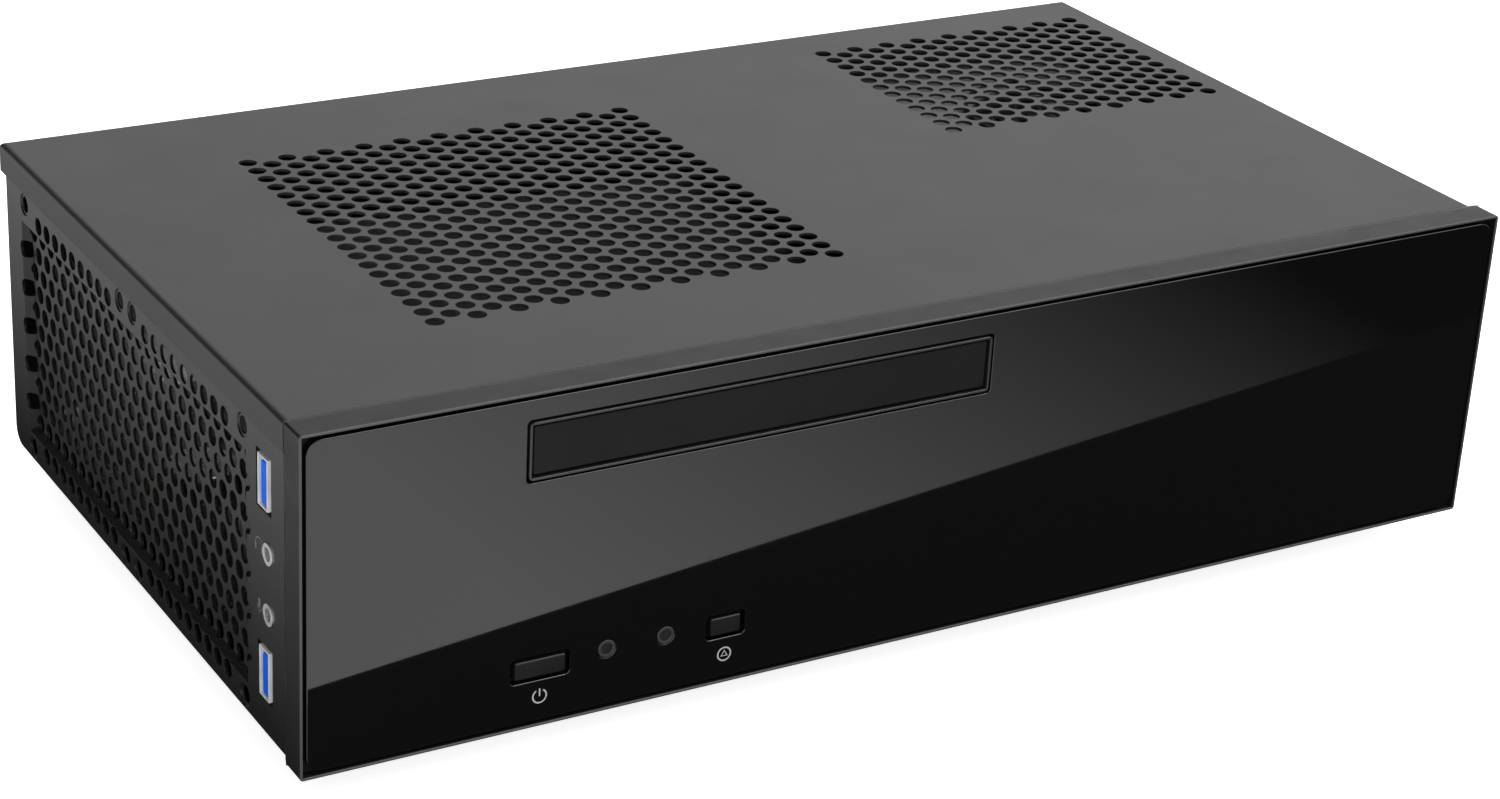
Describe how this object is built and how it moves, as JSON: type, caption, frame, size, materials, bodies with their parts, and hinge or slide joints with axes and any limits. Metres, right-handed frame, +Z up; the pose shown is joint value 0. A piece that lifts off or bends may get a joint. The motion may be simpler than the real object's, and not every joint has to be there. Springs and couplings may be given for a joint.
{
  "type": "slim desktop computer",
  "caption": "Slim desktop computer lying flat: gloss front with a disc drive, buttons and lamps, vented steel case, and the board, cooler, drives and power supply inside.",
  "frame": {"origin": "middle of the object's outline at the bottom of its feet", "axes": "+Z up, front panel faces -Y, +X to the right seen from the front"},
  "size_m": [0.35, 0.207, 0.099],
  "materials": {
    "black_powder_coat": "fine-textured matt powder coat",
    "zinc_steel": "bare zinc-plated sheet",
    "gloss_black": "polished acrylic",
    "satin_black": "satin moulded plastic",
    "lamp_lens": "smoked clear plastic",
    "lamp": "clear epoxy",
    "rubber": "soft rubber",
    "screw_black": "blackened steel screw",
    "screw_zinc": "zinc-plated screw",
    "brass": "turned brass",
    "circuit_board": "solder mask over glass laminate",
    "blue_plastic": "moulded blue insulator",
    "connector_shell": "tinned steel shell",
    "connector_plastic": "moulded nylon",
    "aluminium": "extruded fins",
    "fan_plastic": "moulded glass-filled plastic",
    "tray_plastic": "moulded ABS",
    "cable_sleeve": "braided sleeve",
    "copper_winding": "varnished winding",
    "capacitor_sleeve": "shrink sleeve",
    "supply_coat": "grey powder coat"
  },
  "bodies": {
    "case": {"chassis_base": "black_powder_coat", "front_wall": "black_powder_coat", "rear_panel": "black_powder_coat", "left_side_panel": "black_powder_coat", "right_side_panel": "black_powder_coat", "feet": "rubber", "foot_screws": "screw_zinc", "front_bezel": "satin_black", "front_panel": "gloss_black", "bezel_screws": "screw_zinc", "drive_slot_frame": "satin_black", "button_board": "circuit_board", "tactile_switches": "connector_plastic", "led_light_pipes": "lamp_lens", "indicator_leds": "lamp", "side_port_board": "circuit_board", "usb_shells": "connector_shell", "usb_tongues": "blue_plastic", "audio_jacks": "connector_shell", "optical_drive_shell": "zinc_steel", "drive_bracket": "zinc_steel", "storage_drive": "aluminium", "motherboard": "circuit_board", "standoffs": "brass", "board_screws": "screw_zinc", "rear_usb_ports": "connector_shell", "lan_port": "connector_shell", "video_port": "connector_shell", "rear_audio_ports": "connector_plastic", "io_shield": "zinc_steel", "processor_socket": "zinc_steel", "cpu_heatsink": "aluminium", "cooler_fan_frame": "fan_plastic", "memory_slots": "connector_plastic", "memory_modules": "circuit_board", "power_connector": "connector_plastic", "chipset_heatsink": "aluminium", "psu_lower_shell": "supply_coat", "psu_upper_shell": "supply_coat", "psu_fan_guard": "zinc_steel", "psu_fan_frame": "fan_plastic", "psu_board": "circuit_board", "psu_transformer": "copper_winding", "psu_capacitors": "capacitor_sleeve", "ac_inlet": "connector_plastic", "ac_inlet_pins": "connector_shell", "psu_switch_frame": "connector_plastic", "psu_screws": "screw_black", "power_cable": "cable_sleeve"},
    "cover": {"top_cover": "black_powder_coat", "cover_screws": "screw_black"},
    "power_key": {"power_button": "satin_black"},
    "reset_key": {"reset_button": "satin_black"},
    "disc_tray": {"optical_tray": "tray_plastic", "tray_door": "satin_black"},
    "spindle": {"disc_spindle": "connector_shell"},
    "sled": {"laser_sled": "zinc_steel"},
    "cooler_rotor": {"cooler_fan_rotor": "fan_plastic"},
    "supply_rotor": {"psu_fan_rotor": "fan_plastic"},
    "supply_rocker": {"psu_switch_rocker": "connector_plastic"}
  },
  "joints": [
    {"name": "cover_slide", "type": "slide", "parent": "case", "child": "cover", "axis": [0, 1, 0], "range_m": [0, 0.2]},
    {"name": "power_button_press", "type": "slide", "parent": "case", "child": "power_key", "axis": [0, 1, 0], "range_m": [0, 0.0012], "stiffness_N_per_m": 600, "springref_m": -0.0005},
    {"name": "reset_button_press", "type": "slide", "parent": "case", "child": "reset_key", "axis": [0, 1, 0], "range_m": [0, 0.0012], "stiffness_N_per_m": 600, "springref_m": -0.0005},
    {"name": "disc_tray_slide", "type": "slide", "parent": "case", "child": "disc_tray", "axis": [0, -1, 0], "range_m": [0, 0.115]},
    {"name": "disc_spindle_spin", "type": "hinge", "parent": "disc_tray", "child": "spindle", "pos_m": [-0.05335, -0.0377, 0.0854], "axis": [0, 0, 1], "continuous": true},
    {"name": "laser_sled_slide", "type": "slide", "parent": "disc_tray", "child": "sled", "axis": [0, 1, 0], "range_m": [0, 0.025]},
    {"name": "cooler_fan_spin", "type": "hinge", "parent": "case", "child": "cooler_rotor", "pos_m": [-0.07, 0.0145, 0.0624], "axis": [0, 0, 1], "continuous": true},
    {"name": "psu_fan_spin", "type": "hinge", "parent": "case", "child": "supply_rotor", "pos_m": [0.138, 0.0465, 0.0734], "axis": [0, 0, 1], "continuous": true},
    {"name": "psu_switch_rock", "type": "hinge", "parent": "case", "child": "supply_rocker", "pos_m": [0.113, 0.096, 0.0324], "axis": [1, 0, 0], "range_deg": [0, 14]}
  ]
}
